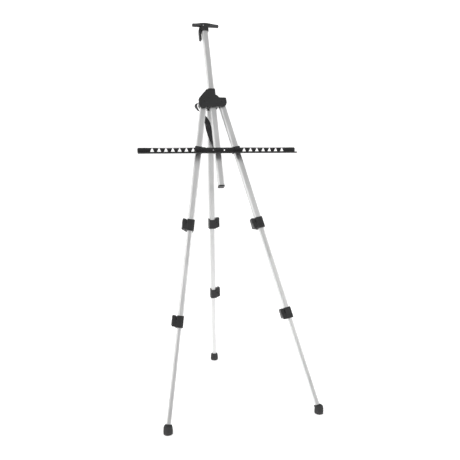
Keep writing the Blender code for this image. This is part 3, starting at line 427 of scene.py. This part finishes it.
LOOKS = {
    "plastic": moulded("moulded_black", (0.013, 0.013, 0.0135), (0.07, 0.07, 0.072), 0.40),
    "lever": moulded("lever_black", (0.016, 0.016, 0.0165), (0.09, 0.09, 0.092), 0.33, 1100.0),
    "tray": moulded("tray_black", (0.011, 0.011, 0.0115), (0.06, 0.06, 0.062), 0.40, 1300.0),
    "rubber": rubber("boot_rubber"),
    "pad": rubber("pad_rubber", (0.06, 0.06, 0.062), (0.11, 0.11, 0.11)),
    "steel": steel("plated_steel", (0.64, 0.64, 0.65), (0.42, 0.41, 0.40)),
    "black_steel": steel("blackened_steel", (0.05, 0.05, 0.052), (0.10, 0.09, 0.085)),
    "webbing": webbing("strap_webbing", 90, 16),
    "thread": rubber("strap_thread", (0.035, 0.035, 0.036), (0.06, 0.06, 0.06)),
    "mast": aluminium("anodised_mast", axis_of("mast_slide")),
}
for word in LEGS:
    LOOKS[word] = aluminium("anodised_" + word, axis_of(word + "_leg_middle_slide"))


def dress_cad():
    """Finishes every CAD node that stays: clean faces, softened edges and its own material."""
    for name, node in NODES.items():
        if name.endswith("_tube"):
            word = next((w for w in LEGS if name.startswith(w)), "mast")
            look = LOOKS[word]
        elif name.endswith("_pin"):
            look = LOOKS["black_steel"]
        elif "rivet" in name:
            look = LOOKS["steel"]
        elif "head_pad" in name:
            look = LOOKS["pad"]
        elif "foot" in name:
            look = LOOKS["rubber"]
        elif "tray" in name:
            look = LOOKS["tray"]
        elif "lever" in name:
            look = LOOKS["lever"]
        else:
            look = LOOKS["plastic"]
        node.data.materials.clear()
        node.data.materials.append(look)
        flatten = node.modifiers.new("flatten", "DECIMATE")
        flatten.decimate_type = "DISSOLVE"
        flatten.angle_limit = math.radians(1.0)
        if not name.endswith("_tube"):
            soften = node.modifiers.new("soften", "BEVEL")
            soften.width = 0.0006
            soften.segments = 2
            soften.limit_method = "ANGLE"
            soften.angle_limit = math.radians(38)
            soften.use_clamp_overlap = True
            soften.harden_normals = False


dress_cad()


# ---------------------------------------------------------------- moulded details

LARGE, MEDIUM = 26.4 * MM, 22.0 * MM
LEVER_DROP = 14.0 * MM
LEVER_OUT = 9.2 * MM
LEVER_THICK = 11.7 * MM
COVER_FRONT = -21.5 * MM
LEVER_BARS = 7
PAD_RIBS = 11
BOOT_LUGS = 30


def rib(low, high, front, back, corner=0.7 * MM, edge=0.4 * MM):
    """A raised rounded strip: two X-Z corners, drawn out along Y."""
    narrow = min(high[0] - low[0], high[1] - low[1]) / 2
    return slab(rounded(low, high, min(corner, narrow * 0.98)), front, back, edge)


def screw_head(radius, height):
    """A pan head with a six-sided recess, its axis along -Y."""
    rim = turned(
        [
            (radius * 0.98, -0.6 * MM),
            (radius, 0.0),
            (radius, height * 0.35),
            (radius * 0.93, height * 0.68),
            (radius * 0.78, height * 0.9),
            (radius * 0.58, height),
            (radius * 0.50, height),
            (radius * 0.46, height * 0.9),
            (radius * 0.46, height * 0.25),
            (radius * 0.40, height * 0.2),
        ],
        24,
    )
    for vertex in rim.verts:
        if math.hypot(vertex.co.x, vertex.co.y) < radius * 0.48:
            angle = math.atan2(vertex.co.y, vertex.co.x)
            sector = (angle + math.pi / 6) % (math.pi / 3) - math.pi / 6
            scale = 0.9 / math.cos(sector)
            vertex.co.x *= scale
            vertex.co.y *= scale
    return rotated(rim, 90, "X")


def pin_cap(radius, height):
    """A riveted pin end, its axis along -Y."""
    cap = turned(
        [
            (radius * 0.9, -0.6 * MM),
            (radius, 0.0),
            (radius, height * 0.4),
            (radius * 0.86, height * 0.8),
            (radius * 0.6, height),
            (radius * 0.34, height * 0.8),
            (radius * 0.2, height * 0.62),
        ],
        20,
    )
    return rotated(cap, 90, "X")


def lock_details(word, level):
    """Ribs, pin ends and a clamp screw on one lock, and the grip on its lever."""
    outer = LARGE if level == "upper" else MEDIUM
    half = (24.0 if level == "upper" else 23.0) * MM
    deep = outer / 2 + 3.9 * MM
    right = LEVER_OUT + outer + 2.4 * MM
    left = LEVER_OUT - 3.2 * MM
    low, high = LEVER_DROP - half, LEVER_DROP + half
    place = lock_frame(word, level)
    holder = f"{word}_leg_{'upper' if level == 'upper' else 'middle'}"
    prefix = f"{word}_leg_{level}_lock"
    foot, top = low + 2.6 * MM, high - 2.6 * MM
    root = -deep + 0.8 * MM
    strips = [
        rib((right - 9.6 * MM, foot), (right - 7.4 * MM, top), -deep - 0.7 * MM, root),
        rib((left + 1.0 * MM, foot), (left + 2.6 * MM, top), -deep - 0.5 * MM, root),
        rib((right - 4.2 * MM, foot), (right - 3.2 * MM, top), -deep - 0.4 * MM, root),
        rib((left + 2.0 * MM, low + 3.0 * MM), (right - 3.0 * MM, low + 4.4 * MM),
            deep - 0.8 * MM, deep + 0.4 * MM),
    ]
    piece(prefix + "_ribs", joined(strips), place, holder, LOOKS["lever"])
    caps = [
        moved(pin_cap(2.9 * MM, 1.1 * MM), (0.0, -deep + 0.2 * MM, 0.0)),
        moved(rotated(pin_cap(2.9 * MM, 1.1 * MM), 180, "Z"), (0.0, deep - 0.2 * MM, 0.0)),
    ]
    piece(prefix + "_pin_ends", joined(caps), place, holder, LOOKS["black_steel"])
    screw = moved(rotated(screw_head(3.1 * MM, 1.5 * MM), 90, "Z"), (right, 0.0, LEVER_DROP - 6 * MM))
    piece(prefix + "_screw", screw, place, holder, LOOKS["black_steel"])
    wide = outer / 2 - 2.0 * MM
    face = -LEVER_THICK
    bars = []
    for i in range(LEVER_BARS):
        z = high - 5.0 * MM - i * 3.0 * MM
        bars.append(rib((face - 0.55 * MM, z - 0.75 * MM), (face + 0.7 * MM, z + 0.75 * MM),
                        -wide, wide, 0.6 * MM))
    lever = f"{word}_leg_{level}_lever"
    piece(prefix + "_lever_grip", joined(bars), place, lever, LOOKS["lever"])


def drum_place(word):
    """The middle of a boot's drum on the floor."""
    place = leg_frame(word)
    down = -axis_of(word + "_leg_middle_slide")
    ground = place.translation + down * (place.translation.z / -down.z)
    side = {"left": -1, "right": 1, "rear": 0}[word]
    if side:
        ground += Vector((-side * 3.0 * MM, 7.0 * MM, 0.0))
    return Matrix.Translation(ground)


def drum_radius(height):
    """The boot's radius at a height, in metres."""
    profile = [(0.0, 12.5), (1.6, 15.8), (5.0, 17.6), (9.0, 17.8), (27.0, 16.6), (30.4, 15.4)]
    height /= MM
    for (z0, r0), (z1, r1) in zip(profile, profile[1:]):
        if z0 <= height <= z1:
            return (r0 + (r1 - r0) * (height - z0) / (z1 - z0)) * MM
    return profile[-1][1] * MM


def ring_band(height, wide, proud, sides=64):
    """A rounded raised band round the drum."""
    steps = 6
    loops = []
    for i in range(sides):
        a = math.tau * i / sides
        loop = []
        for k in range(steps + 1):
            t = math.pi * k / steps
            z = height - wide / 2 * math.cos(t)
            radius = drum_radius(z) - 0.2 * MM + (proud + 0.2 * MM) * math.sin(t)
            loop.append((radius * math.cos(a), radius * math.sin(a), z))
        inner = drum_radius(height) - 0.9 * MM
        loop.append((inner * math.cos(a), inner * math.sin(a), height))
        loops.append(loop)
    return loft(loops, closed=True)


def boot_details(word):
    """Grip bands round the boot and a skirt of tread lugs at the floor."""
    bands = [ring_band(z * MM, 1.7 * MM, 0.45 * MM) for z in (12.0, 17.0, 22.0)]
    lugs = []
    outline = rounded((-1.1 * MM, 1.2 * MM), (1.1 * MM, 7.6 * MM), 0.8 * MM)
    lean = math.degrees(math.atan2(1.4, 5.0))
    lean_turn = Matrix.Rotation(math.radians(-lean * 0.35), 3, "X")
    for i in range(BOOT_LUGS):
        a = 360.0 * i / BOOT_LUGS
        lug = slab(outline, -0.5 * MM, 0.8 * MM, 0.35 * MM)
        bmesh.ops.rotate(lug, verts=lug.verts, matrix=lean_turn)
        moved(lug, (0.0, -17.2 * MM, 0.0))
        lugs.append(rotated(lug, a, "Z"))
    body = f"{word}_leg_lower"
    piece(f"{word}_leg_boot_tread", joined(bands + lugs), drum_place(word), body, LOOKS["rubber"])


def hub_details():
    """The hub cover's two screws, and the clamp lever's pin ends and grip."""
    screws = [moved(screw_head(2.9 * MM, 1.3 * MM), (x * MM, COVER_FRONT, z * MM))
              for x, z in ((-17.0, 20.0), (17.0, -23.0))]
    piece("hub_cover_screws", joined(screws), HUB, "hub", LOOKS["black_steel"])
    pin = HUB.inverted() @ place_of("mast_clamp_flip")
    caps = [
        moved(pin_cap(2.8 * MM, 1.2 * MM), (pin.x, -12.4 * MM, pin.z)),
        moved(rotated(pin_cap(2.8 * MM, 1.2 * MM), 180, "Z"), (pin.x, 12.4 * MM, pin.z)),
    ]
    piece("mast_clamp_pin_ends", joined(caps), HUB, "hub", LOOKS["black_steel"])
    slope = math.degrees(math.atan2(26.0, 21.0))
    bars = []
    for i in range(5):
        along = i / 4
        x = pin.x + (-20.6 - 14.0 * along) * MM
        z = pin.z + (-14.9 - 17.4 * along) * MM
        bar = rib((-0.8 * MM, -0.6 * MM), (0.8 * MM, 0.6 * MM), -6.4 * MM, 6.4 * MM, 0.55 * MM)
        bars.append(moved(rotated(bar, -slope, "Y"), (x, 0.0, z)))
    piece("mast_clamp_grip", joined(bars), HUB, "mast_clamp", LOOKS["lever"])


def head_details():
    """Ribs on the head's rubber strips, a screw through its middle and the head lever's pin ends."""
    for word in ("left", "right"):
        node_low, node_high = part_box("head_pad_" + word)
        middle = (Vector(node_low) + Vector(node_high)) / 2
        centre = HUB.inverted() @ middle
        half = (node_high[0] - node_low[0]) / 2
        ribs = []
        for i in range(PAD_RIBS):
            x = centre.x - half + 2.6 * MM + (2 * half - 5.2 * MM) * i / (PAD_RIBS - 1)
            ribs.append(rib((x - 0.55 * MM, centre.z - 1.7 * MM), (x + 0.55 * MM, centre.z + 1.7 * MM),
                            -15.1 * MM, -14.2 * MM, 0.5 * MM, 0.3 * MM))
        piece(f"head_pad_{word}_ribs", joined(ribs), HUB, "head", LOOKS["pad"])
    screw = moved(screw_head(2.6 * MM, 1.2 * MM), (-7.0 * MM, -13.6 * MM, 401.0 * MM))
    piece("head_screw", screw, HUB, "head", LOOKS["steel"])
    pin = HUB.inverted() @ place_of("head_lever_flip")
    caps = [
        moved(pin_cap(2.4 * MM, 1.0 * MM), (pin.x, -12.4 * MM, pin.z)),
        moved(rotated(pin_cap(2.4 * MM, 1.0 * MM), 180, "Z"), (pin.x, 12.4 * MM, pin.z)),
    ]
    piece("head_lock_pin_ends", joined(caps), HUB, "mast", LOOKS["black_steel"])


def tray_details():
    """A recessed drive in each round screw and ribs behind each wing's face."""
    for word, side in (("left", -1), ("right", 1)):
        place = Matrix.Translation(place_of(word + "_wing_fold"))
        low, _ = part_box("tray_screw_" + word)
        front = low[1] - place.translation.y
        drive = moved(screw_head(5.0 * MM, 1.3 * MM), (0.0, front + 1.9 * MM, 0.0))
        piece(f"tray_screw_{word}_drive", drive, place, "tray", LOOKS["black_steel"])
        ribs = []
        for i in range(8):
            x = side * ((98.4 + 29.0 * i) * MM)
            if abs(x) > 330 * MM:
                continue
            ribs.append(moved(rib((-0.9 * MM, -10.6 * MM), (0.9 * MM, 8.0 * MM), 0.0, 2.4 * MM, 0.6 * MM),
                              (x - place.translation.x, 1.5 * MM, 0.0)))
        piece(f"{word}_tray_wing_ribs", joined(ribs), place, f"{word}_wing", LOOKS["tray"])


# ---------------------------------------------------------------- strap

# Points along the strap's middle in millimetres, from the front leg pivots, and the way its width lies
STRAP_ROUTE = (
    ((-19.2, 51.0, 1243.4), (0.0, 1.0, 0.0)),
    ((-19.4, 51.0, 1235.0), (0.0, 1.0, 0.0)),
    ((-24.0, 51.0, 1228.5), (0.0, 1.0, 0.0)),
    ((-36.0, 49.0, 1226.0), (-0.05, 1.0, 0.0)),
    ((-51.0, 46.0, 1226.5), (-0.12, 1.0, 0.0)),
    ((-62.0, 44.5, 1224.0), (-0.2, 1.0, 0.0)),
    ((-67.5, 43.0, 1215.5), (-0.24, 1.0, 0.0)),
    ((-65.5, 42.0, 1206.0), (-0.24, 1.0, 0.0)),
    ((-57.5, 41.0, 1195.0), (-0.16, 1.0, 0.1)),
    ((-44.0, 38.5, 1181.0), (0.3, 0.9, 0.25)),
    ((-28.4, 34.2, 1161.0), (0.75, 0.65, 0.3)),
    ((-17.0, 31.8, 1138.0), (0.95, 0.3, 0.2)),
    ((-10.5, 33.5, 1112.0), (1.0, 0.0, 0.1)),
    ((-5.0, 30.0, 1086.0), (0.95, 0.3, 0.0)),
    ((1.7, 25.5, 1060.0), (0.8, 0.6, 0.0)),
    ((12.6, 24.4, 1037.0), (0.5, 0.87, 0.0)),
    ((17.0, 37.0, 1018.0), (0.1, 1.0, 0.0)),
    ((15.3, 44.5, 1000.5), (0.0, 1.0, 0.0)),
)
STRAP_WIDTH = 28.0 * MM
STRAP_THICK = 1.6 * MM
STRAP_COLUMNS = 20
THREAD_STEP = 1.2 * MM


def spline(a, b, c, d, t):
    """Catmull-Rom interpolation between b and c."""
    return 0.5 * (
        2 * b + (c - a) * t + (2 * a - 5 * b + 4 * c - d) * t * t + (3 * b - a - 3 * c + d) * t * t * t
    )


def strap_line():
    """Evenly spaced (point, along, across) down the strap."""
    offset = Vector((0.0, HUB.translation.y, 0.0))
    centres = [Vector(point) * MM + offset for point, _ in STRAP_ROUTE]
    widths = [Vector(width).normalized() for _, width in STRAP_ROUTE]
    last = len(centres) - 1
    fine = []
    for i in range(last):
        around = [centres[k] for k in (max(i - 1, 0), i, i + 1, min(i + 2, last))]
        for k in range(24):
            fine.append((spline(*around, k / 24), widths[i].lerp(widths[i + 1], k / 24)))
    fine.append((centres[-1], widths[-1]))
    lengths = [0.0]
    for (a, _), (b, _) in zip(fine, fine[1:]):
        lengths.append(lengths[-1] + (b - a).length)
    total = lengths[-1]
    count = int(total / THREAD_STEP)
    samples = []
    k = 0
    for i in range(count + 1):
        want = total * i / count
        while k < len(fine) - 2 and lengths[k + 1] < want:
            k += 1
        t = (want - lengths[k]) / (lengths[k + 1] - lengths[k])
        samples.append((fine[k][0].lerp(fine[k + 1][0], t), fine[k][1].lerp(fine[k + 1][1], t)))
    line = []
    for i, (point, width) in enumerate(samples):
        before, after = samples[max(i - 1, 0)][0], samples[min(i + 1, count)][0]
        along = (after - before).normalized()
        across = (width - along * width.dot(along)).normalized()
        line.append((point, along, across))
    return line, total


def strap():
    """The woven ribbon, with chevron ribs in its faces and rounded selvedges."""
    line, total = strap_line()
    loops, chart = [], []
    for row, (point, along, across) in enumerate(line):
        normal = along.cross(across)
        loop, marks = [], []
        for face in (-1, 1):
            for k in range(STRAP_COLUMNS + 1):
                u = k / STRAP_COLUMNS if face < 0 else 1 - k / STRAP_COLUMNS
                edge = min(u, 1 - u) * STRAP_WIDTH / (1.4 * MM)
                rounding = math.sqrt(1 - (1 - min(edge, 1.0)) ** 2) if edge < 1 else 1.0
                chevron = abs((u * 4) % 2 - 1)
                ridge = 0.10 * MM * math.sin(math.tau * (row / 4 + chevron * 1.5))
                thick = (STRAP_THICK / 2 - 0.12 * MM) * (0.35 + 0.65 * rounding) + ridge * rounding
                loop.append(point + across * (u - 0.5) * STRAP_WIDTH + normal * thick * face)
                marks.append((u, row / (len(line) - 1)))
        loops.append(loop)
        chart.append(marks)
    bm = loft(loops)
    bm.verts.index_update()
    flat = [mark for marks in chart for mark in marks]
    layer = bm.loops.layers.uv.new("weave")
    for facet in bm.faces:
        for corner in facet.loops:
            corner[layer].uv = flat[corner.vert.index]
    ribbon = piece("carry_strap_webbing", bm, Matrix.Identity(4), None, LOOKS["webbing"], 50)
    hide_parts("carry_strap")
    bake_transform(ribbon)
    return line


def stitches(name, line, rows, body, face):
    """Short raised stitches in rows across the strap."""
    parts = []
    for row in rows:
        point, along, across = line[row]
        normal = along.cross(across) * face
        for k in range(8):
            u = (k + 0.5) / 8 - 0.5
            middle = point + across * u * STRAP_WIDTH * 0.8 + normal * (STRAP_THICK / 2)
            loops = []
            for s in range(7):
                t = s / 6
                lift = math.sin(math.pi * t) * 0.45 * MM - 0.1 * MM
                centre = middle + across * (t - 0.5) * 2.0 * MM + normal * lift
                radius = 0.28 * MM * (0.4 + 0.6 * math.sin(math.pi * min(max(t, 0.08), 0.92)))
                loops.append([centre + (along * c + normal * d) * radius
                              for c, d in arc((0.0, 0.0), 1.0, 0, 315, 7)])
            parts.append(loft(loops))
    piece(name, joined(parts), Matrix.Identity(4), body, LOOKS["thread"])


def add_details():
    for word in LEGS:
        for level in ("upper", "lower"):
            lock_details(word, level)
        boot_details(word)
    hub_details()
    head_details()
    tray_details()
    line = strap()
    stitches("strap_top_stitches", line, (2, 4, 10, 12), "hub", -1)
    stitches("strap_bottom_stitches", line, (-3, -5, -12, -14), "rear_leg_upper", 1)


add_details()


# ---------------------------------------------------------------- stage

def camera():
    """The viewer stands left of the easel, with the eye a little above the tray."""
    data = bpy.data.cameras.new("camera")
    data.sensor_width = 36.0
    data.lens = 39.02
    data.clip_end = 60.0
    eye = bpy.data.objects.new("camera", data)
    bpy.context.scene.collection.objects.link(eye)
    pivot = HUB.translation
    eye.location = (pivot.x - 0.477, pivot.y - 2.264, pivot.z - 0.1668)
    eye.rotation_euler = (math.radians(90 - 10.15), 0.0, math.radians(-13.87))
    bpy.context.scene.camera = eye


def floor():
    """A pale floor that sweeps up behind the easel."""
    width, front, back, height, bend = 14.0, -7.0, 6.0, 8.0, 2.5
    profile = [(front, 0.0), (back - bend, 0.0)]
    profile += [(back - bend + bend * math.sin(t), bend * (1 - math.cos(t)))
                for t in [math.pi / 2 * i / 24 for i in range(1, 25)]]
    profile.append((back, height))
    bm = bmesh.new()
    rows = [[bm.verts.new((x, y, z)) for y, z in profile] for x in (-width, width)]
    for i in range(len(profile) - 1):
        bm.faces.new((rows[0][i], rows[1][i], rows[1][i + 1], rows[0][i + 1]))
    made = piece("studio_sweep", bm, Matrix.Translation((0.0, 0.0, -0.0002)), None, floor_material())


def area_light(name, place, target, size, power, tint=(1.0, 1.0, 1.0)):
    data = bpy.data.lights.new(name, "AREA")
    data.shape = "RECTANGLE"
    data.size, data.size_y = size
    data.energy = power
    data.color = tint
    lamp = bpy.data.objects.new(name, data)
    bpy.context.scene.collection.objects.link(lamp)
    lamp.location = place
    direction = Vector(target) - Vector(place)
    lamp.rotation_euler = direction.to_track_quat("-Z", "Y").to_euler()


def light():
    world = bpy.data.worlds.new("studio")
    world.use_nodes = True
    tree = world.node_tree
    background = tree.nodes["Background"]
    background.inputs["Strength"].default_value = 1.0
    direction = tree.nodes.new("ShaderNodeTexCoord").outputs["Generated"]
    split = tree.nodes.new("ShaderNodeSeparateXYZ")
    tree.links.new(direction, split.inputs[0])
    ramp = tree.nodes.new("ShaderNodeValToRGB")
    shades = ramp.color_ramp.elements
    shades[0].position, shades[0].color = 0.0, (0.42, 0.42, 0.42, 1.0)
    shades[1].position, shades[1].color = 1.0, (1.0, 1.0, 1.0, 1.0)
    middle = shades.new(0.42)
    middle.color = (0.55, 0.55, 0.55, 1.0)
    middle = shades.new(0.62)
    middle.color = (1.0, 1.0, 1.0, 1.0)
    spread = tree.nodes.new("ShaderNodeMapRange")
    spread.inputs["From Min"].default_value = -1.0
    spread.inputs["From Max"].default_value = 1.0
    tree.links.new(split.outputs["Y"], spread.inputs["Value"])
    tree.links.new(spread.outputs["Result"], ramp.inputs["Fac"])
    tree.links.new(ramp.outputs["Color"], background.inputs["Color"])
    bpy.context.scene.world = world
    area_light("key", (-3.2, -2.2, 3.4), (0.0, 0.0, 0.9), (2.2, 2.2), 90)
    area_light("fill", (3.4, -2.6, 2.6), (0.0, 0.0, 0.8), (2.0, 2.0), 40)
    bpy.context.scene.view_settings.view_transform = "Standard"


camera()
floor()
light()
